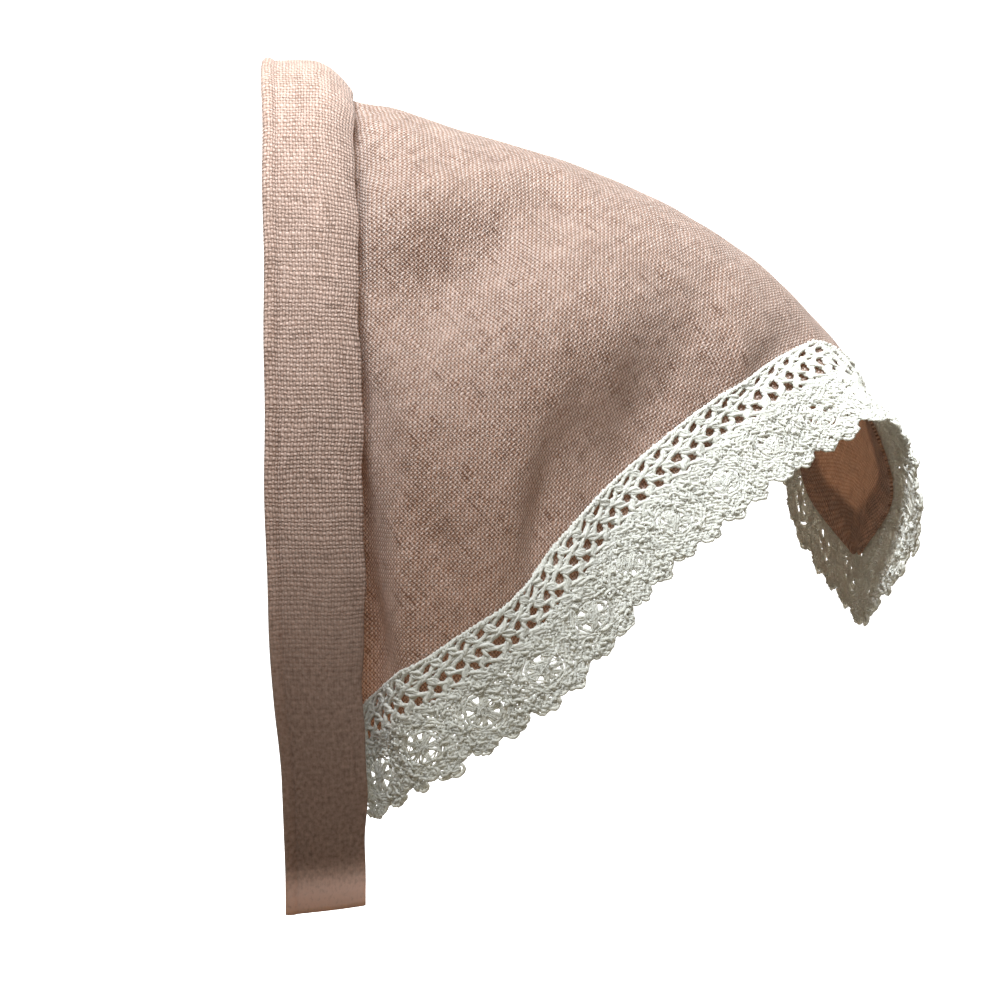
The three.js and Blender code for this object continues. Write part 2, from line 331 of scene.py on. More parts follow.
def linen_finish(name, light_yarn, warp_pitch, weft_pitch, lean, slubs, rows, gaps, painted_shade_from, thin):
    """Plain-weave linen. The pitches are its threads' widths in millimetres. Lean is how strongly
    the twist of the yarn lines up the bright tops of the threads, on one diagonal or, if negative,
    the other. Slubs, rows and gaps are how strongly thick threads, rows of weft and the painted
    shade in the gaps between threads show. Further along the cloth than the length where the
    painted shade starts, in millimetres, its weave is smoothed and its colour painted darker as
    painted shade, up to a hem painted paler as painted light. Thin is the share of light that goes
    through it, which is less where it is folded double."""
    material, w = blank_material(name)
    place = w.make("ShaderNodeUVMap", {"uv_map": GRAIN})
    flat = w.make("ShaderNodeSeparateXYZ", None, {0: place})
    over_cloth = Wire(w.tree, flat.socket.node.outputs["X"])
    along_cloth = Wire(w.tree, flat.socket.node.outputs["Y"])

    def noise(scale, detail, vector=place):
        sockets = {"Vector": vector, "Scale": scale, "Detail": detail, "Roughness": 0.55}
        return w.make("ShaderNodeTexNoise", {"noise_dimensions": "3D"}, sockets, "Fac")

    def pair(x, y):
        return w.make("ShaderNodeCombineXYZ", None, {0: x, 1: y})

    waver = noise(WAVER_SCALE, 1.0) * 0.45
    crowded = noise(1.0, 2.0, pair(over_cloth * CROWD_SCALE, 3.0))
    packed = noise(1.0, 2.0, pair(7.0, along_cloth * CROWD_SCALE)) * 1.5
    warp_drift = noise(WARP_DRIFT_SCALE, 2.0) * 1.5
    weft_drift = noise(WEFT_DRIFT_SCALE, 2.0) * 1.7
    warp_place = over_cloth / (warp_pitch * MM) + warp_drift + waver + crowded
    weft_place = along_cloth / (weft_pitch * MM) + weft_drift + waver + packed
    warp_wave = w.math("SINE", warp_place * math.pi)
    weft_wave = w.math("SINE", weft_place * math.pi)
    turn = warp_wave * weft_wave
    diagonal = warp_place + weft_place * math.copysign(1, lean)
    leaning = w.math("COSINE", diagonal * math.pi) * abs(lean)
    warp_thread = w.math("FLOOR", warp_place)
    weft_thread = w.math("FLOOR", weft_place)
    warp_slub = noise(1.0, 2.0, pair(warp_thread * 7.31, weft_place * 0.18))
    weft_slub = noise(1.0, 2.0, pair(weft_thread * 5.77 + 90.0, warp_place * 0.13))
    warp_high = abs(warp_wave) ** THREAD_ROUND * (turn * 0.5 + 0.5) * (warp_slub * 1.5 + 0.25)
    weft_high = abs(weft_wave) ** THREAD_ROUND * (0.5 - turn * 0.5) * (weft_slub + 0.5)
    warp_on_top = w.math("GREATER_THAN", warp_high, weft_high)
    weave = w.math("MAXIMUM", warp_high, weft_high) * (1 - rows)
    weave = weave + abs(weft_wave) * (0.8 * rows)
    slub = weft_slub + warp_on_top * (warp_slub - weft_slub)
    fibres = noise(FIBRE_SCALE, 2.0)
    patches = noise(PATCH_SCALE, 3.0)
    fuzz = noise(FUZZ_SCALE, 3.0)
    loose = noise(1.0, 2.0, pair(warp_place * 0.34, weft_place * 0.09))
    apart = noise(1.0, 2.0, pair(warp_place * 0.10 + 40.0, weft_place * 0.55))
    thick = w.step(warp_slub, 0.55, 0.74)
    parted = w.step(apart, 0.57, 0.74)

    def along(start, end, top):
        return w.step(abs(along_cloth), (painted_shade_from + start) * MM, (painted_shade_from + end) * MM, top)

    # Painted shade: further along the strap the colour is painted darker and the weave flatter, for
    # the shade on the strap ends.
    painted_strap_shade = along(0.0, STRAP_SHADE_OVER, STRAP_SHADE_SHARE)
    # Painted light: the strap's last few millimetres, its curled hem, are painted paler for the light
    # on their upturned face.
    hem = along(HEM_LIGHT_FROM, HEM_LIGHT_FULL, 1.0)
    crisp = 1 - painted_strap_shade

    streaks = (slub - 0.5) * 1.1 + thick * warp_on_top * slubs
    streaks = streaks + (fibres - 0.5) * 0.7 - leaning * 0.42
    tone = streaks * crisp + (patches - 0.5) * 0.3 + 0.5 - painted_strap_shade * 0.48 + hem * 0.95
    yarn = w.mix(tone, YARN_DARK, light_yarn)
    # Painted shade: where the yarn leaves gaps, a dark colour is painted for the shade between
    # threads.
    closed = w.step(weave + (loose - 0.5) * 0.4 - parted * 0.25, 0.20, 0.70)
    strap_shade_cover = hem * 0.6 + (fuzz - 0.5) * 1.5 + STRAP_SHADE_COVER
    yarn_over_gap_shade = (1 - (1 - closed) * gaps) * crisp + painted_strap_shade * strap_shade_cover
    colour = w.mix(yarn_over_gap_shade, PAINTED_GAP_SHADE, yarn)
    height = (weave - leaning * 0.22 + fibres * 0.16 + slub * 0.25 + thick * slubs) * crisp
    bump = w.make("ShaderNodeBump", None,
                  {"Strength": 1.0, "Distance": WEAVE_DEPTH, "Height": height})
    cloth = w.make("ShaderNodeBsdfPrincipled", None, {
        "Base Color": colour, "Roughness": 0.94, "Normal": bump, "Specular IOR Level": 0.22,
        "Sheen Weight": 0.28, "Sheen Roughness": 0.45, "Sheen Tint": (1.0, 0.93, 0.88, 1.0)})
    through = w.make("ShaderNodeBsdfTranslucent", None, {"Color": THROUGH_LIGHT})
    share = (yarn_over_gap_shade * 0.4 + 0.7) * thin
    both = w.make("ShaderNodeMixShader", None, {0: share, 1: cloth, 2: through})
    w.make("ShaderNodeOutputMaterial", None, {"Surface": both})
    return material


crown_linen = linen_finish("crown_linen", CROWN_YARN, warp_pitch=0.79, weft_pitch=0.81, lean=1.4,
                           slubs=0.7, rows=0.0, gaps=1.0, painted_shade_from=900.0, thin=0.44)
band_linen = linen_finish("band_linen", BAND_YARN_PAINTED_WARM, warp_pitch=0.77, weft_pitch=1.14, lean=-0.6,
                          slubs=0.1, rows=0.12, gaps=0.78, painted_shade_from=140.0, thin=0.345)
print("linen finishes:", crown_linen.name, band_linen.name)

# %% [markdown]
# The lace is soft cotton yarn of two plies, off-white and a little uneven. Every thread is real
# geometry, so the finish only adds the twist of the plies and the fuzz. Each thread's mesh holds
# its own length and the way round it in an attribute, and the twist is a stripe along both.

# %% The cotton finish
PLY = "ply"
TONE = "tone"
PLY_TURN = 1.15 * MM
COTTON_LIGHT = (0.96, 0.955, 0.915, 1.0)
COTTON_DARK = (0.72, 0.71, 0.65, 1.0)
COTTON_THROUGH = (0.92, 0.90, 0.82, 1.0)
COTTON_THIN = 0.30
COTTON_FUZZ_SCALE = 3600.0
PLY_DEPTH = 0.09 * MM


def cotton_finish(name):
    material, w = blank_material(name)
    ply = w.make("ShaderNodeAttribute", {"attribute_name": PLY}, None, "Vector")
    parts = w.make("ShaderNodeSeparateXYZ", None, {0: ply}).socket.node.outputs
    round_x, round_y, length = (Wire(w.tree, socket) for socket in parts)
    tone = w.make("ShaderNodeAttribute", {"attribute_name": TONE}, None, "Fac")
    spot = w.make("ShaderNodeTexCoord", None, None, "Object")
    fuzz = w.make("ShaderNodeTexNoise", None,
                  {"Vector": spot, "Scale": COTTON_FUZZ_SCALE, "Detail": 2.0}, "Fac")
    angle = length * (2 * math.pi / PLY_TURN)
    stripe = w.math("SINE", angle) * round_x + w.math("COSINE", angle) * round_y
    height = stripe * 0.5 + fuzz * 0.7
    share = stripe * 0.22 + (fuzz - 0.5) * 0.7 + (tone - 0.5) * 0.5 + 0.66
    colour = w.mix(share, COTTON_DARK, COTTON_LIGHT)
    bump = w.make("ShaderNodeBump", None,
                  {"Strength": 0.8, "Distance": PLY_DEPTH, "Height": height})
    yarn = w.make("ShaderNodeBsdfPrincipled", None, {
        "Base Color": colour, "Roughness": 0.85, "Normal": bump, "Specular IOR Level": 0.25,
        "Sheen Weight": 0.25, "Sheen Roughness": 0.4, "Sheen Tint": (1.0, 1.0, 0.97, 1.0)})
    through = w.make("ShaderNodeBsdfTranslucent", None, {"Color": COTTON_THROUGH})
    both = w.make("ShaderNodeMixShader", None, {0: COTTON_THIN, 1: yarn, 2: through})
    w.make("ShaderNodeOutputMaterial", None, {"Surface": both})
    return material


left_cotton = cotton_finish("left_lace_cotton")
right_cotton = cotton_finish("right_lace_cotton")
print("cotton finishes:", left_cotton.name, right_cotton.name)

# %% [markdown]
# The crown starts as a flat grid, and every vertex moves to its place on the draped form. For the
# weave the draped cloth is then laid flat again: the grid's points are pulled about on a table
# until neighbours are as far apart as they are on the cloth, first coarsely and then finely.
# Those places, turned because the triangle is cut across the grain, are its UV map. A Solidify
# modifier gives the cloth its thickness.

# %% Sheets from flat grids
def flat_grid(name, columns, rows):
    """A flat grid mesh, and the shares, 0 to 1, across and along it at each vertex."""
    bm = bmesh.new()
    bmesh.ops.create_grid(bm, x_segments=columns, y_segments=rows, size=0.5)
    mesh = bpy.data.meshes.new(name)
    bm.to_mesh(mesh)
    bm.free()
    places = np.empty(3 * len(mesh.vertices))
    mesh.vertices.foreach_get("co", places)
    places = np.clip(places.reshape(-1, 3) + 0.5, 0, 1)
    return mesh, places[:, 0], places[:, 1]


def lay_grain(mesh, over_cloth, along_cloth):
    """Writes each vertex's place on the flat cloth, in millimetres, to the UV map in metres."""
    corner = np.empty(len(mesh.loops), np.int32)
    mesh.loops.foreach_get("vertex_index", corner)
    places = np.stack([over_cloth[corner], along_cloth[corner]], 1) * MM
    mesh.uv_layers.new(name=GRAIN).uv.foreach_set("vector", places.astype(np.float32).ravel())


def move_to(mesh, points):
    """Moves a mesh's vertices to points in millimetres."""
    mesh.vertices.foreach_set("co", (points * MM).astype(np.float32).ravel())
    mesh.update()


def add_piece(name, mesh, material, node):
    """Shows a mesh as the piece that stands for a node of the frame."""
    mesh.polygons.foreach_set("use_smooth", np.ones(len(mesh.polygons), bool))
    mesh.materials.append(material)
    piece = bpy.data.objects.new(name, mesh)
    bpy.context.scene.collection.objects.link(piece)
    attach(piece, "root")
    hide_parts(node)
    return piece


def thicken(piece, thick):
    wall = piece.modifiers.new("cloth thickness", "SOLIDIFY")
    wall.thickness = thick * MM
    wall.offset = 0.0


# %% The crown panel
CROWN_COLUMNS = 224
CROWN_ROWS = 168
CROWN_ROW_SPREAD = 1.25
GRAIN_TURN = math.radians(30)
LINEN_THICK = 0.8
CRUMPLES = 22
CRUMPLE_HEIGHT = 0.06
CRUMPLE_LENGTHS = (14, 42)
CRUMPLE_CLEAR = 20.0
CRUMPLE_ON_CENTRE = 0.3
CENTRE_REACH = (8, 40)
FLATTENING = ((8, 1500), (4, 500), (2, 200), (1, 60))
PULL = 1.4
chance = np.random.RandomState(7)


def crumple(over_cloth, along_cloth):
    """Small soft unevenness of washed linen, from waves in many directions."""
    height = np.zeros_like(over_cloth)
    for _ in range(CRUMPLES):
        angle = chance.uniform(0, math.pi)
        length = chance.uniform(*CRUMPLE_LENGTHS)
        start = chance.uniform(0, 2 * math.pi)
        run = over_cloth * math.cos(angle) + along_cloth * math.sin(angle)
        height += np.sin(2 * math.pi * run / length + start)
    return CRUMPLE_HEIGHT * height


def cloth_place(x, y):
    """The side, share, distance across and guessed flat place of a point of the grid."""
    across, share = np.abs(2 * x - 1), y**CROWN_ROW_SPREAD
    side = np.where(x < 0.5, -1.0, 1.0)
    out = side * across * CLOTH_HALF_BASE * (1 - share)
    return side, share, across, np.stack([out, share * CLOTH_DEPTH], -1)


def pull_about(flat, draped, rounds):
    """Moves neighbours on the table until they are as far apart as on the draped cloth."""
    ahead, behind, every = slice(1, None), slice(None, -1), slice(None)
    ways = (((every, behind), (every, ahead)), ((behind, every), (ahead, every)),
            ((behind, behind), (ahead, ahead)), ((behind, ahead), (ahead, behind)))
    spans = [np.linalg.norm(draped[b] - draped[a], axis=-1, keepdims=True) for a, b in ways]
    for _ in range(rounds):
        moves, pulls = np.zeros_like(flat), np.zeros(flat.shape[:2] + (1,))
        for (a, b), span in zip(ways, spans):
            gap = flat[b] - flat[a]
            pull = 0.5 * gap * (1 - span / (np.linalg.norm(gap, axis=-1, keepdims=True) + 1e-9))
            moves[a] += pull
            moves[b] -= pull
            pulls[a] += 1
            pulls[b] += 1
        flat = flat + PULL * moves / pulls
    return flat


def between_rows(table_places, columns, rows):
    """The same places on a grid with more columns and rows."""
    old_rows, old_columns = table_places.shape[:2]
    at_row = np.linspace(0, old_rows - 1, rows + 1)
    at_column = np.linspace(0, old_columns - 1, columns + 1)
    i = np.minimum(at_row.astype(int), old_rows - 2)
    j = np.minimum(at_column.astype(int), old_columns - 2)
    p, q = (at_row - i)[:, None, None], (at_column - j)[None, :, None]
    tall = table_places[i] * (1 - p) + table_places[i + 1] * p
    return tall[:, j] * (1 - q) + tall[:, j + 1] * q


def lay_flat():
    """The crown's places on the table, from a coarse grid to the full one."""
    places = None
    for part, rounds in FLATTENING:
        columns, rows = CROWN_COLUMNS // part, CROWN_ROWS // part
        steps = np.linspace(0, 1, rows + 1), np.linspace(0, 1, columns + 1)
        y, x = np.meshgrid(*steps, indexing="ij")
        side, share, across, guess = cloth_place(x, y)
        start = guess if places is None else between_rows(places, columns, rows)
        places = pull_about(start, panel(side, share, across), rounds)
    return places.reshape(-1, 2)


def make_crown():
    mesh, x, y = flat_grid("crown_cloth", CROWN_COLUMNS, CROWN_ROWS)
    side, share, across, guess = cloth_place(x, y)
    row, column = np.rint(y * CROWN_ROWS).astype(int), np.rint(x * CROWN_COLUMNS).astype(int)
    flat = lay_flat()[row * (CROWN_COLUMNS + 1) + column]
    cos, sin = math.cos(GRAIN_TURN), math.sin(GRAIN_TURN)
    lay_grain(mesh, flat[:, 0] * sin + flat[:, 1] * cos, flat[:, 1] * sin - flat[:, 0] * cos)
    lift = crumple(guess[:, 0], guess[:, 1]) * smooth(0, CRUMPLE_CLEAR, guess[:, 1])
    off_centre = smooth(*CENTRE_REACH, np.abs(guess[:, 0]))
    lift *= CRUMPLE_ON_CENTRE + (1 - CRUMPLE_ON_CENTRE) * off_centre
    move_to(mesh, panel(side, share, across) + lift[:, None] * outward(panel, side, share, across))
    return add_piece("crown_cloth", mesh, crown_linen, "crown")


crown_cloth = make_crown()
thicken(crown_cloth, LINEN_THICK)
print("crown faces:", len(crown_cloth.data.polygons))

# %% [markdown]
# The band is one strip of linen folded round on itself, so it is made as a flattened tube: a grid
# whose columns go round the section and whose rows go along the arch from one strap end to the
# other. Its front edge is turned and sewn down, which leaves a narrow raised lip, and its rear
# edge rolls in over the panel. The strap ends are pinched flat where they are hemmed.

# %% The band's form
BAND_SECTIONS = table(
    "share front rear roll",
    (0.00, -4.1, 20.0, 8.2),
    (0.24, -2.6, 20.2, 5.4),
    (0.42, -1.9, 21.0, 3.2),
    (0.64, -1.4, 22.0, 2.6),
    (0.80, 0.5, 21.9, 2.0),
    (0.88, 2.6, 22.5, 1.2),
    (1.00, 3.4, 22.6, 0.6),
)
BAND_RAISE = table(
    "share raise",
    (0.00, 0.1),
    (0.08, 0.6),
    (0.14, 0.0),
    (0.42, 0.2),
    (0.68, 0.2),
    (0.86, 0.1),
    (1.00, 0.0),
)
BAND_LAYERS = 1.7
BAND_TOP = 1.2
BAND_HALF_WIDTH = 60.0
ARCH_ROUND = 46.0
ARCH_BULGE = 7.0
ARCH_SHOULDER_UP = -38.0
BAND_EAR_UP = -186.0
STRAP_END_UP = -218.4
STRAP_LEAN = 1.4
STRAP_END_SLANT = 1.6
STRAP_SLANT_FROM = 0.86
ROLL_FROM = 0.55
LIP_SEAM = 0.145
LIP_SEAM_DEPTH = 0.2
LIP_SEAM_SPREAD = 0.018
HEM_UP = 6.2
HEM_SEAM_SPREAD = 0.8
HEM_SEAM_PINCH = 0.3
END_PINCH = 0.5
END_PINCH_LENGTH = 4.0
HEM_CURL = 4.6
HEM_CURL_LENGTH = 13.0


def band_path():
    """Points along the middle of the arch and the strap, and the length to each of them."""
    t = np.linspace(0, 1, 600)[:, None]
    top = np.array([0, BAND_TOP])
    leaving = np.array([ARCH_ROUND, BAND_TOP])
    shoulder = np.array([BAND_HALF_WIDTH + ARCH_BULGE, ARCH_SHOULDER_UP])
    ear = np.array([BAND_HALF_WIDTH, BAND_EAR_UP])
    end = np.array([BAND_HALF_WIDTH - STRAP_LEAN, STRAP_END_UP])
    arch = (1 - t) ** 3 * top + 3 * t * (1 - t) ** 2 * leaving
    arch = arch + 3 * t**2 * (1 - t) * shoulder + t**3 * ear
    strap = ear + np.linspace(0, 1, 60)[1:, None] * (end - ear)
    points = np.concatenate([arch, strap])
    gaps = np.linalg.norm(np.diff(points, axis=0), axis=1)
    return points, np.concatenate([[0], np.cumsum(gaps)])


band_points, band_lengths = band_path()
BAND_LENGTH = band_lengths[-1]


def band_middle(share):
    """The band's middle line and its run, in the plane across the head."""
    def at(s):
        length = s * BAND_LENGTH
        return np.stack([np.interp(length, band_lengths, line) for line in band_points.T], -1)

    half = 4e-3
    low, high = np.maximum(share - half, 0), np.minimum(share + half, 1)
    return at(share), unit(at(high) - at(low))


print("band length, mm:", round(2 * BAND_LENGTH, 1))

# %% The band
EDGE_STEPS = 6
FACE_STEPS = 36
INNER_STEPS = 18
BAND_ROWS = 380
BAND_FACE = 22.4
BAND_WALL = 0.6
REAR_WAVES = ((0.3, 7.3, 0), (0.18, 2.9, 1))
FRONT_WAVES = ((0.14, 6.1, 2),)


def band_loop():
    """The way round the band's section: share of the face, reach past it and height."""
    turn = np.linspace(-math.pi / 2, math.pi / 2, EDGE_STEPS, endpoint=False)
    radius = BAND_LAYERS / 2
    face = np.linspace(0, 1, FACE_STEPS, endpoint=False)
    inner = np.linspace(1, 0, INNER_STEPS + 1)
    share = np.concatenate([0 * turn, face, 0 * turn + 1, inner])
    reach = np.concatenate([-radius * np.cos(turn), 0 * face, radius * np.cos(turn), 0 * inner])
    rise = radius * np.sin(turn)
    height = np.concatenate([rise, 0 * face + radius, -rise, 0 * inner - radius])
    return share, reach, height


def waves(rows, length):
    """Small waves of an edge: the height, the length and the start of each."""
    return sum(height * np.sin(length / long + start) for height, long, start in rows)


def make_band():
    loop_share, loop_reach, loop_height = band_loop()
    columns = len(loop_share) - 1
    mesh, x, y = flat_grid("band_cloth", columns, BAND_ROWS)
    on = np.rint(x * columns).astype(int)
    side = np.where(y < 0.5, -1.0, 1.0)
    share = np.abs(2 * y - 1)
    edges = between(BAND_SECTIONS, share)
    run_length = y * 2 * BAND_LENGTH
    edges["rear"] += waves(REAR_WAVES, run_length)
    edges["front"] += waves(FRONT_WAVES, run_length)
    width = edges["rear"] - edges["front"]
    radius = BAND_LAYERS / 2
    place = radius + loop_share[on] * (width - 2 * radius) + loop_reach[on]
    across = np.clip(place / width, 0, 1)
    from_end = (1 - share) * BAND_LENGTH

    height = loop_height[on]
    outer = smooth(-0.5, 0.9, height / radius)
    height = height + outer * between(BAND_RAISE, across)["raise"]
    height -= outer * LIP_SEAM_DEPTH * np.exp(-(((across - LIP_SEAM) / LIP_SEAM_SPREAD) ** 2))
    pinch = END_PINCH + (1 - END_PINCH) * smooth(0, END_PINCH_LENGTH, from_end)
    pinch -= HEM_SEAM_PINCH * np.exp(-(((from_end - HEM_UP) / HEM_SEAM_SPREAD) ** 2))
    lip = np.maximum(across - ROLL_FROM, 0) / (1 - ROLL_FROM)
    lean = 2 * edges["roll"] * lip / ((1 - ROLL_FROM) * width)

    spot, run = band_middle(share)
    way = np.stack([-run[:, 1], lean, run[:, 0]], -1)
    flat_way = np.stack([-run[:, 1], 0 * lean, run[:, 0]], -1)
    curl = HEM_CURL * (1 - smooth(0, HEM_CURL_LENGTH, from_end)) ** 2
    point = np.stack([spot[:, 0], edges["front"] + place, spot[:, 1]], -1)
    point[:, 2] += STRAP_END_SLANT * smooth(STRAP_SLANT_FROM, 1, share) * (across - 0.5)
    point += flat_way * (curl - edges["roll"] * lip**2)[:, None]
    point += unit(way) * (height * pinch)[:, None]
    point[:, 0] *= side

    loop = np.stack([loop_share * BAND_FACE + loop_reach, loop_height], -1)
    gaps = np.linalg.norm(np.diff(loop, axis=0), axis=1)
    round_it = np.concatenate([[0], np.cumsum(gaps)])
    lay_grain(mesh, round_it[on], side * share * BAND_LENGTH)
    move_to(mesh, point)

    bm = bmesh.new()
    bm.from_mesh(mesh)
    bmesh.ops.remove_doubles(bm, verts=bm.verts, dist=0.02 * MM)
    bmesh.ops.recalc_face_normals(bm, faces=bm.faces)
    bm.to_mesh(mesh)
    bm.free()
    return add_piece("band_cloth", mesh, band_linen, "front_band"), round_it[-1]


band_cloth, band_cut = make_band()
thicken(band_cloth, BAND_WALL)
print("band faces:", len(band_cloth.data.polygons), "cut width, mm:", round(band_cut, 1))

# %% [markdown]
# The lace follows the hem of the crown. On the cloth it lies flat, and below the hem it hangs on
# in the same direction. To bend a flat chart of threads on to that strip, the strip is first
# worked out as a fine grid of places, from the header cord to the scallops, and then any place
# on the chart is read from the grid.

# %% The strip that the lace covers
LACE_LAP = 10.5
LACE_START = 11.0
MITRE_SLOPE = 0.66
MITRE_REACH = 3.4
HANG_EVENED = 14.0
BEND_FLARE = 0.24
BEND_AT = 0.86
BEND_SPREAD = 0.07
START_LIFT = 0.7
START_LIFT_LENGTH = 26.0
LACE_LIFT = 1.35
HEM_STEPS = 240
WALK_STEPS = 6


def blend_rows(at, lengths, rows):
    """Rows of vectors read at other lengths, and made unit vectors again."""
    return unit(np.stack([np.interp(at, lengths, rows[:, k]) for k in range(3)], -1))


def hem_path(side):
    """The hem's shares and lengths, its run, and the evened way that the lace hangs from it."""
    share = np.linspace(2 * STEP, 1 - 2 * STEP, HEM_STEPS + 1)
    side, edge = np.full_like(share, side), np.ones_like(share)
    point = panel(side, share, edge)
    run = unit(panel(side, share + STEP, edge) - panel(side, share - STEP, edge))
    over = point - panel(side, share, edge - STEP)
    hang = unit(over - np.sum(over * run, 1, keepdims=True) * run)
    gaps = np.linalg.norm(np.diff(point, axis=0), axis=1)
    length = np.concatenate([[0], np.cumsum(gaps)])
    nearness = np.exp(-(((length[:, None] - length[None, :]) / HANG_EVENED) ** 2))
    return share, length, run, unit(nearness @ hang)


def walk_in(side, share, heading, length):
    """Places on the cloth after a straight walk in from the hem, in short steps."""
    across = np.full_like(share, 1 - STEP)
    for _ in range(WALK_STEPS):
        here = panel(side, share, across)
        along = (panel(side, share + STEP, across) - here) / STEP
        over = (here - panel(side, share, across - STEP)) / STEP
        a, b, c = (np.sum(p * q, -1) for p, q in ((along, along), (along, over), (over, over)))
        p, q = np.sum(along * heading, -1), np.sum(over * heading, -1)
        reach = length / WALK_STEPS / (a * c - b * b)
        move_share, move_across = (c * p - b * q) * reach, (a * q - b * p) * reach
        step = along * move_share[..., None] + over * move_across[..., None]
        heading = np.where(length[..., None] > 0, unit(step + 1e-12), heading)
        share = np.clip(share + move_share, 0, 1 - 2 * STEP)
        across = np.clip(across + move_across, 2 * STEP, 1 - STEP)
    return share, across


def lace_strip(side_sign, turns, pasts):
    """Places and outward ways on a grid: shares of the lace's length by distances past the hem."""
    hem_share, hem_length, hem_run, hem_even = hem_path(side_sign)
    total = hem_length[-1]
    turn, past = (g.ravel() for g in np.meshgrid(turns, pasts, indexing="ij"))
    length = LACE_START + turn * (total + past * MITRE_SLOPE + MITRE_REACH - LACE_START)
    share = np.interp(length, hem_length, hem_share)
    run = blend_rows(length, hem_length, hem_run)
    even = blend_rows(length, hem_length, hem_even)
    side, edge = np.full_like(share, side_sign), np.ones_like(share)
    way = outward(panel, side, share, edge - STEP)
    flare = BEND_FLARE * np.exp(-(((share - BEND_AT) / BEND_SPREAD) ** 2))
    below = panel(side, share, edge) + unit(even + way * flare[:, None]) * np.maximum(past, 0)[:, None]
    on_share, on_across = walk_in(side, share, -even, np.maximum(-past, 0))
    on_cloth = (past < 0)[:, None]
    place = np.where(on_cloth, panel(side, on_share, on_across), below)
    way = np.where(on_cloth, outward(panel, side, on_share, on_across), way)
    groove = START_LIFT * (1 - smooth(LACE_START, LACE_START + START_LIFT_LENGTH, length))
    place += run * np.maximum(length - total, 0)[:, None] + way * (LACE_LIFT + groove)[:, None]
    shape = (len(turns), len(pasts), 3)
    return place.reshape(shape), way.reshape(shape)


print("hem length, mm:", round(hem_path(1.0)[1][-1], 1))

# %% [markdown]
# The lace is charted flat, as a lace maker pricks a pattern. Below the header cord comes
# a net of slanting holes: strands of four yarns run down it in two slanting sets, cross at
# the bars between the holes and turn half round from one crossing to the next. Below that the
# work is dense, with a round gap in every repeat where a spoked wheel is woven, some larger than
# others, and small loops make the scalloped edge. A thread is a list of places on the chart:
# millimetres along the lace, across it from the header, and up from its middle.

# %% The chart's measures
REPEAT = 16.6
REPEATS = 15
LACE_LENGTH = REPEAT * REPEATS
NET_PITCH = REPEAT / 3
NET_YARNS = (-1.5, -0.5, 0.5, 1.5)
NET_YARN = 0.47
NET_TWIST = 0.34
NET_ROWS = table(
    "across phase half_bar spread",
    (1.0, 0.10, 0.2, 0.98),
    (2.7, 0.15, 0.5, 0.90),
    (4.5, 0.32, 0.1, 0.82),
    (6.2, 0.50, 0.6, 0.92),
    (8.6, 1.00, 0.5, 0.94),
    (10.6, 0.50, 0.5, 0.98),
    (12.6, 1.00, 0.3, 0.90),
)
BRAIDS = (4.1, 4.8, 10.9, 11.7)
CROSS_ALONG = REPEAT / 20.5
CROSS_ACROSS = 0.60
OVER_UNDER = 0.28
GROUND_YARN = 0.42
GROUND_FROM = 10.3
GROUND_TO = 28.0
HEADER_ACROSS = 0.7
WHEEL_AT = 0.5
WHEEL_ACROSS = 18.6
WHEEL_RADII = np.array([4.2, 4.2, 4.1, 3.9, 3.6, 3.4, 3.2, 3.2,
                        3.3, 3.5, 3.8, 4.1, 4.2, 4.0, 3.8])
WHEEL_CUT = 0.62
WHEEL_SPOKES = 5
WHEEL_STRANDS = 5
SPOKE_YARNS = (-0.45, 0, 0.45)
SPOKE_YARN = 0.33
SPOKE_TURN = 0.4
SPOKE_MISS = 0.6
STRAND_YARN = 0.2
HUB_YARN = 0.38
HUB_TURNS = 3
CROWDING = 2.6
NUBS_PER_REPEAT = 40
NUBS_FROM = 12.2
NUB_YARN = 0.38
NUB_LENGTHS = (1.2, 2.4)
NUB_BEND = 1.1
NUB_FRONT_SHARE = 0.7
EDGE_ACROSS = 26.0
EDGE_YARN = 0.44
LOOP_YARN = 0.48
LOOP_SIZES = (0.65, 1.3)
BRAID_YARN = 0.36
END_CLEAR = 0.3


def scallop(u):
    """How far across the lace its edge lies: two lobes in each repeat."""
    turn = 2 * math.pi * u / REPEAT
    return EDGE_ACROSS - 0.5 * np.cos(turn) - 1.2 * np.cos(2 * turn + 0.6)


def from_repeat(u, at):
    """The distance along the lace to a place that comes back in every repeat."""
    return (u - at * REPEAT + REPEAT / 2) % REPEAT - REPEAT / 2


def wheel_radius(u):
    """The radius of the wheel in the repeat that a place lies in."""
    return WHEEL_RADII[np.clip(u / REPEAT, 0, REPEATS - 1).astype(int)]


def clear_of_ends(u):
    return (u > END_CLEAR) & (u < LACE_LENGTH - END_CLEAR)


# %% The net and the dense ground
def soften(path):
    """A path with its corners rounded."""
    return np.concatenate([path[:1], (path[:-2] + 2 * path[1:-1] + path[2:]) / 4, path[-1:]])


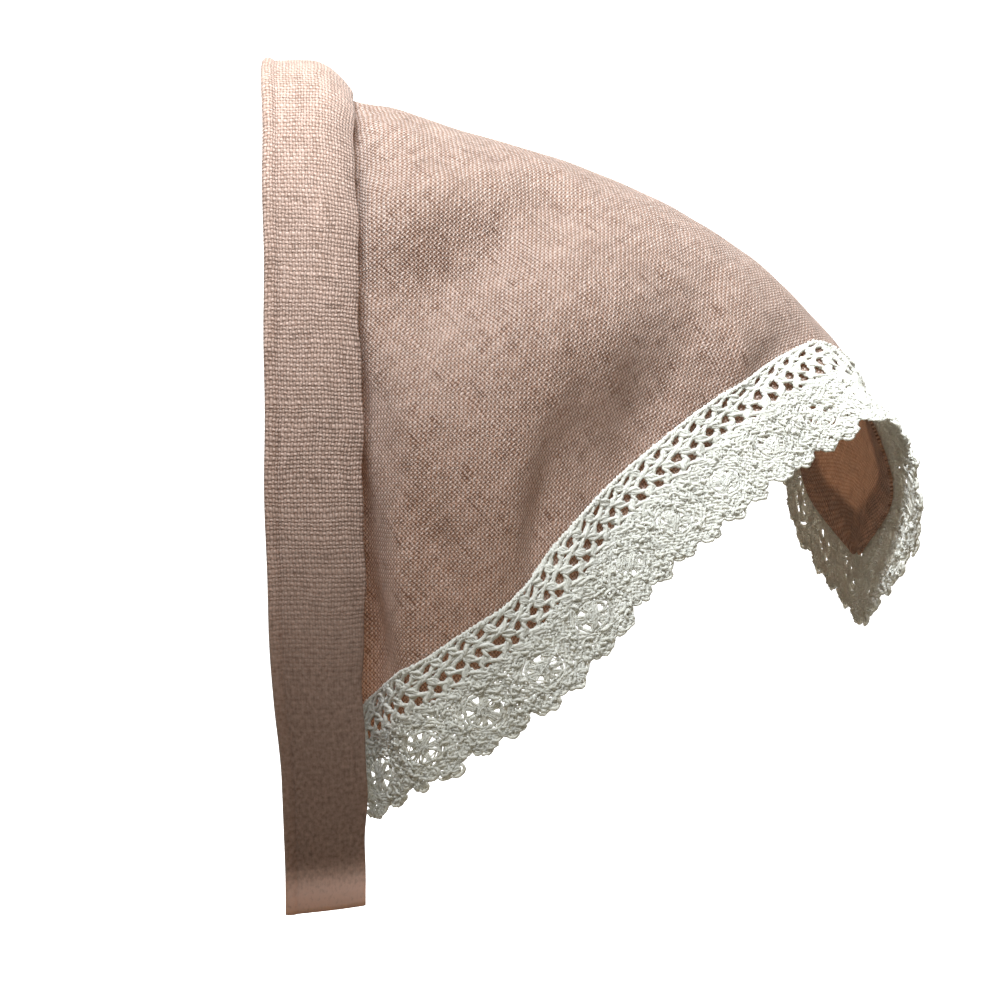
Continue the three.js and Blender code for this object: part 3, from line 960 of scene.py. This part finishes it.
def net(luck):
    """Strands of yarns in two slanting sets, which turn half round between their crossings."""
    threads = []
    rows = list(zip(*NET_ROWS.values()))
    for slant in (1, -1):
        for strand in range(-4, int(LACE_LENGTH / NET_PITCH) + 5):
            loose = luck.uniform(-0.3, 0.3, (len(rows), 2))
            for yarn in NET_YARNS:
                path, u, last, turn = [], strand * NET_PITCH, 0.0, 1
                for k, (across, phase, half_bar, spread) in enumerate(rows):
                    step = (phase - last) % 1.0
                    move = (step if slant > 0 or step == 0 else step - 1) * NET_PITCH
                    last, turn = phase, -turn
                    aside, down = loose[k]
                    if path:
                        before = path[-1]
                        path.append(((before[0] + turn * yarn * spread + u + move) / 2,
                                     (before[1] + across - half_bar) / 2, yarn * NET_TWIST * turn))
                    u += move
                    over, apart = OVER_UNDER * slant * turn, turn * yarn * spread
                    path.append((u + apart + aside, across - half_bar + down, over))
                    path.append((u + apart * 0.9 + aside, across + half_bar + down, over * 0.6))
                path = np.array(path)
                pieces = in_pieces(path, clear_of_ends(path[:, 0]))
                threads += [(soften(piece), NET_YARN) for piece in pieces]
    return threads


def braids():
    """Wavy threads along the lace that bind the net."""
    u = np.arange(END_CLEAR, LACE_LENGTH - END_CLEAR, 1.0)
    wave = 2 * math.pi * u / NET_PITCH
    threads = []
    for across in BRAIDS:
        swing, rise = 0.28 * np.sin(wave + 2 * across), 0.35 * np.sin(3 * wave)
        threads.append((np.stack([u, across + swing, rise], 1), BRAID_YARN))
    return threads


def open_wheels(chart):
    """Pushes the places of threads out of the round gaps, where they crowd together."""
    chart = chart.copy()
    gap = wheel_radius(chart[:, 0]) + GROUND_YARN
    x = from_repeat(chart[:, 0], WHEEL_AT) / gap
    y = (chart[:, 1] - WHEEL_ACROSS) / gap
    off = np.hypot(x, y) + 1e-6
    push = (off**CROWDING + 1) ** (1 / CROWDING) / off - 1
    chart[:, 0] += x * push * gap
    chart[:, 1] += y * push * gap
    return chart


def in_pieces(path, keep):
    """The runs of a path that are kept."""
    cuts = np.flatnonzero(np.diff(keep.astype(int))) + 1
    pieces = zip(np.split(path, cuts), np.split(keep, cuts))
    return [piece for piece, kept in pieces if kept[0] and len(piece) > 2]


def ground(luck):
    """Two slanting sets of soft threads, woven over and under each other."""
    count = int(LACE_LENGTH / CROSS_ALONG)
    depth = int((GROUND_TO - GROUND_FROM) / CROSS_ACROSS)
    threads = []
    for slant in (1, -1):
        for k in range(-depth, count + depth, 2):
            step = np.arange(depth)
            u, across = (k + slant * step) * CROSS_ALONG, GROUND_FROM + step * CROSS_ACROSS
            over = slant * OVER_UNDER * np.where(step % 2 == 0, 1, -1)
            path = np.stack([u, across, over + luck.uniform(-0.25, 0.25, depth)], 1)
            off = np.hypot(from_repeat(u, WHEEL_AT), across - WHEEL_ACROSS) / wheel_radius(u)
            keep = clear_of_ends(u) & (across < scallop(u)) & (off > WHEEL_CUT)
            path[:, 0] += 0.32 * np.sin(0.9 * across + 0.37 * u) + 0.2 * np.sin(1.7 * u)
            path[:, 1] += 0.22 * np.sin(0.8 * u + 0.5 * across)
            threads += [(open_wheels(piece), GROUND_YARN) for piece in in_pieces(path, keep)]
    return threads


# %% The header, the wheels and the edge
def evenly(path, step):
    """A path with its points spaced by about one step, and the length to each."""
    path = np.asarray(path, float)
    gaps = np.linalg.norm(np.diff(path, axis=0), axis=1)
    length = np.concatenate([[0], np.cumsum(gaps)])
    at = np.linspace(0, length[-1], max(int(round(length[-1] / step)), 2) + 1)
    return np.stack([np.interp(at, length, path[:, k]) for k in range(3)], 1), at


def wound(path, reach, turn, radius, step):
    """Two threads wound round each other along a path."""
    middle, at = evenly(path, step)
    run = np.gradient(middle, axis=0)
    across = unit(np.stack([-run[:, 1], run[:, 0]], 1) + 1e-9)
    threads = []
    for ply in (0, math.pi):
        angle = 2 * math.pi * at / turn + ply
        thread = middle.copy()
        thread[:, :2] += reach * np.cos(angle)[:, None] * across
        thread[:, 2] += reach * np.sin(angle)
        threads.append((thread, radius))
    return threads


def header():
    path = [(0, HEADER_ACROSS, 0.1), (LACE_LENGTH, HEADER_ACROSS, 0.1)]
    return wound(path, reach=0.30, turn=2.1, radius=0.40, step=0.56)


def wheels(luck):
    """A ring, thick spokes that cross in the middle, loose strands and a thread round the hub."""
    threads = []
    turn = np.linspace(0, 2 * math.pi, 29)
    for m, radius in enumerate(WHEEL_RADII):
        centre = np.array([(m + WHEEL_AT) * REPEAT, WHEEL_ACROSS, 0])
        ring = centre + (radius + 0.2) * np.stack([np.cos(turn), np.sin(turn), 0 * turn], 1)
        threads += wound(ring, reach=0.32, turn=2.2, radius=0.38, step=0.95)
        for k in range(WHEEL_SPOKES):
            angle = math.pi * (k + 0.25 + luck.uniform(-SPOKE_TURN, SPOKE_TURN)) / WHEEL_SPOKES
            run = np.array([math.cos(angle), math.sin(angle), 0])
            aside = np.array([-run[1], run[0], 0])
            missed = luck.uniform(-SPOKE_MISS, SPOKE_MISS)
            reach = np.linspace(-1, 1, 7)[:, None] * (radius + 0.2)
            rise = (k - 2) * 0.2 * np.exp(-((reach / 1.5) ** 2))
            for offset in SPOKE_YARNS:
                spoke = centre + reach * run + (offset + missed) * aside
                spoke[:, 2] = (rise + 0.12 * np.sin(2.1 * reach + offset * 8))[:, 0]
                threads.append((spoke, SPOKE_YARN))
        for _ in range(WHEEL_STRANDS):
            ends = luck.uniform(0, 2 * math.pi, 2)
            reach = np.linspace(0, 1, 6)[:, None]
            first, second = (radius * np.array([math.cos(end), math.sin(end), 0]) for end in ends)
            strand = centre + first + reach * (second - first)
            strand[:, 2] = luck.uniform(-0.4, 0.4)
            threads.append((strand, STRAND_YARN))
        hub = np.linspace(0, HUB_TURNS * 2 * math.pi, 36)
        reach = 0.4 + 1.6 * hub / hub[-1]
        weave = 0.5 * np.sin(WHEEL_SPOKES * hub)
        spiral = np.stack([reach * np.cos(hub), reach * np.sin(hub), weave], 1)
        threads.append((centre + spiral, HUB_YARN))
    return threads


def edge(luck):
    """A cord along the scallops and small uneven loops beyond it."""
    u = np.arange(0.2, LACE_LENGTH, 0.9)
    threads = [(np.stack([u, scallop(u), 0.2 * np.sin(4 * u)], 1), EDGE_YARN)]
    turn = np.linspace(-0.5, math.pi + 0.5, 9)
    middle = 0.8
    while middle < LACE_LENGTH - 0.8:
        size = luck.uniform(*LOOP_SIZES)
        for reach in (1.25 * size, 0.6 * size):
            loop = np.stack([middle + 1.1 * reach * np.cos(turn),
                             scallop(middle) - 0.1 + reach * np.sin(turn),
                             luck.uniform(-0.3, 0.3) + 0.3 * np.cos(3 * turn)], 1)
            threads.append((loop, LOOP_YARN))
        middle += 1.9 * size
    return threads


def nubs(luck):
    """Short loose loops that stand out of the ground on both faces."""
    threads = []
    bow = np.linspace(0, 1, 5)
    while len(threads) < NUBS_PER_REPEAT * REPEATS:
        u = luck.uniform(1, LACE_LENGTH - 1)
        across = luck.uniform(NUBS_FROM, scallop(u) + 0.4)
        if math.hypot(from_repeat(u, WHEEL_AT), across - WHEEL_ACROSS) < wheel_radius(u) + 0.5:
            continue
        angle, length = luck.uniform(0, 2 * math.pi), luck.uniform(*NUB_LENGTHS)
        bend = luck.uniform(-NUB_BEND, NUB_BEND)
        face = 1 if luck.uniform() < NUB_FRONT_SHARE else -1
        along, aside = (bow - 0.5) * length, bend * np.sin(math.pi * bow)
        loop = np.stack([u + along * math.cos(angle) - aside * math.sin(angle),
                         across + along * math.sin(angle) + aside * math.cos(angle),
                         face * (0.25 + 0.55 * np.sin(math.pi * bow))], 1)
        threads.append((loop, NUB_YARN))
    return threads


deepest = scallop(np.linspace(0, REPEAT, 99)).max()
print("chart, mm:", round(LACE_LENGTH, 1), "by", round(float(deepest), 1))

# %% [markdown]
# A thread is too thin to need more than four sides. All threads of one lace become a single mesh
# from arrays, because hundreds of separate tubes would be slow to make and to move. Small seeded
# shifts keep the work from looking like wire.

# %% Threads to one mesh
THREAD_SIDES = 4
SHIFT = 0.16
RADIUS_SPREAD = 0.28


def read_strip(strip, turns, pasts, u, across):
    """Places on the lace's strip between its grid lines."""
    i = np.clip(u / LACE_LENGTH * (len(turns) - 1), 0, len(turns) - 1.001)
    j = np.clip(np.interp(across - LACE_LAP, pasts, np.arange(len(pasts))), 0, len(pasts) - 1.001)
    a, b = i.astype(int), j.astype(int)
    p, q = (i - a)[:, None], (j - b)[:, None]
    low = strip[a, b] * (1 - p) + strip[a + 1, b] * p
    high = strip[a, b + 1] * (1 - p) + strip[a + 1, b + 1] * p
    return low * (1 - q) + high * q


def tubes(points, ways, start, end, radius, sides):
    """Vertices, faces and the ply attribute of round threads through the points."""
    here = np.arange(len(points))
    run = unit(points[np.minimum(here + 1, end)] - points[np.maximum(here - 1, start)] + 1e-9)
    over = unit(np.cross(run, ways) + 1e-9)
    up = np.cross(over, run)
    angle = np.arange(sides) * 2 * math.pi / sides
    ring = np.cos(angle)[None, :, None] * over[:, None] + np.sin(angle)[None, :, None] * up[:, None]
    places = points[:, None] + radius[:, None, None] * ring
    gaps = np.linalg.norm(np.diff(points, axis=0, prepend=points[:1]), axis=1)
    length = np.cumsum(gaps)
    ply = np.stack(np.broadcast_arrays(np.cos(angle), np.sin(angle), length[:, None] * MM), -1)
    body = here[here < end]
    k = np.arange(sides)
    here_on, next_on = body[:, None] * sides, body[:, None] * sides + sides
    turn = (k + 1) % sides
    quads = np.stack([here_on + k, next_on + k, next_on + turn, here_on + turn], -1)
    starts = np.unique(start)[:, None] * sides + k
    ends = np.unique(end)[:, None] * sides + k[::-1]
    faces = quads.reshape(-1, 4).tolist() + starts.tolist() + ends.tolist()
    return places.reshape(-1, 3), faces, ply.reshape(-1, 3)


def make_lace(name, side_sign, material, node, seed):
    luck = np.random.RandomState(seed)
    turns = np.linspace(0, 1, REPEATS * 12 + 1)
    pasts = np.concatenate([np.linspace(-LACE_LAP - 0.6, 0, 12), np.linspace(0, 20, 12)[1:]])
    strip, ways = lace_strip(side_sign, turns, pasts)
    threads = header() + net(luck) + braids() + ground(luck) + wheels(luck) + edge(luck) + nubs(luck)
    count = np.array([len(path) for path, radius in threads])
    chart = np.concatenate([path for path, radius in threads])
    chart = chart + luck.uniform(-SHIFT, SHIFT, chart.shape)
    thread = np.repeat(np.arange(len(threads)), count)
    end = (np.cumsum(count) - 1)[thread]
    start = end - count[thread] + 1
    radius = np.array([radius for path, radius in threads])[thread]
    radius = radius * (1 + luck.uniform(-RADIUS_SPREAD, RADIUS_SPREAD, len(radius)))
    way = unit(read_strip(ways, turns, pasts, chart[:, 0], chart[:, 1]))
    place = read_strip(strip, turns, pasts, chart[:, 0], chart[:, 1]) + way * chart[:, 2:]
    vertices, faces, plies = tubes(place, way, start, end, radius, THREAD_SIDES)
    tones = np.repeat(luck.uniform(0, 1, len(threads))[thread], THREAD_SIDES)
    mesh = bpy.data.meshes.new(name)
    mesh.from_pydata((vertices * MM).tolist(), [], faces)
    ply = mesh.attributes.new(PLY, "FLOAT_VECTOR", "POINT")
    ply.data.foreach_set("vector", plies.astype(np.float32).ravel())
    tone = mesh.attributes.new(TONE, "FLOAT", "POINT")
    tone.data.foreach_set("value", tones.astype(np.float32))
    return add_piece(name, mesh, material, node)


def triangles(mesh):
    return sum(len(face.vertices) - 2 for face in mesh.polygons)


lace_left = make_lace("lace_left_threads", 1.0, left_cotton, "lace_left", 11)
lace_right = make_lace("lace_right_threads", -1.0, right_cotton, "lace_right", 12)
print("lace triangles:", triangles(lace_left.data), triangles(lace_right.data))

# %% [markdown]
# The crown and the band are cloth: the crown is half of a square kerchief with the lace sewn to it,
# and the band is one long strip.

print("cloth pieces: crown and band")

# %% [markdown]
# The room is a plain pale floor that rounds up into a wall, and the light comes from above: one
# soft lamp high on the camera's side, a faint one behind and a weak warm glow all round. The high
# lamp is tilted up, away from the strap ends, so that its light fades out towards them. The floor
# shines by itself and lights the cloth only from behind, through the weave.

# %% The floor and the light
FLOOR_UP = -0.34
FLOOR_REACH = 2.4
WALL_ROUND = 0.9
WALL_TOP = 3.0


def studio_floor():
    bm = bmesh.new()
    profile = [Vector((0, 0, FLOOR_UP)), Vector((FLOOR_REACH, 0, FLOOR_UP))]
    for k in range(1, 13):
        turn = math.pi / 2 * k / 12
        profile.append(Vector((FLOOR_REACH + WALL_ROUND * math.sin(turn), 0,
                               FLOOR_UP + WALL_ROUND * (1 - math.cos(turn)))))
    profile.append(Vector((FLOOR_REACH + WALL_ROUND, 0, WALL_TOP)))
    points = [bm.verts.new(p) for p in profile]
    edges = [bm.edges.new(pair) for pair in zip(points, points[1:])]
    bmesh.ops.spin(bm, geom=points + edges, cent=(0, 0, 0), axis=(0, 0, 1), angle=2 * math.pi,
                   steps=64, use_merge=True)
    bmesh.ops.remove_doubles(bm, verts=bm.verts, dist=1e-5)
    bmesh.ops.recalc_face_normals(bm, faces=bm.faces)
    bmesh.ops.reverse_faces(bm, faces=bm.faces)
    mesh = bpy.data.meshes.new("floor")
    bm.to_mesh(mesh)
    bm.free()
    mesh.polygons.foreach_set("use_smooth", np.ones(len(mesh.polygons), bool))
    return mesh


pale, w = blank_material("pale_floor")
paper = w.make("ShaderNodeBsdfPrincipled", None, {
    "Base Color": (0.9, 0.9, 0.9, 1.0), "Roughness": 1.0, "Specular IOR Level": 0.0,
    "Emission Color": (1.0, 1.0, 1.0, 1.0), "Emission Strength": 1.0})
w.make("ShaderNodeOutputMaterial", None, {"Surface": paper})
floor = bpy.data.objects.new("floor", studio_floor())
floor.data.materials.append(pale)
bpy.context.scene.collection.objects.link(floor)
floor.visible_diffuse = False
floor.visible_shadow = False


def lamp(name, place, aim, size, power, colour):
    light = bpy.data.lights.new(name, "AREA")
    light.shape = "RECTANGLE"
    light.size, light.size_y = size
    light.energy = power
    light.color = colour
    held = bpy.data.objects.new(name, light)
    held.location = place
    held.rotation_euler = (Vector(aim) - Vector(place)).to_track_quat("-Z", "Y").to_euler()
    held.visible_camera = False
    bpy.context.scene.collection.objects.link(held)


lamp("key lamp", place=(0.60, -0.14, 0.65), aim=(0.147, 0.028, 0.95), size=(0.45, 0.25),
     power=164.0, colour=(0.94, 1.0, 1.03))
lamp("back lamp", place=(-0.35, 0.45, 0.0), aim=(0.0, 0.12, -0.1), size=(0.3, 0.3),
     power=1.2, colour=(1.0, 0.90, 0.76))

world = bpy.data.worlds.new("glow")
world.use_nodes = True
bpy.context.scene.world = world
glow = world.node_tree.nodes["Background"]
glow.inputs["Color"].default_value = (1.0, 0.84, 0.58, 1.0)
glow.inputs["Strength"].default_value = 0.15
bpy.context.scene.view_settings.view_transform = "Standard"
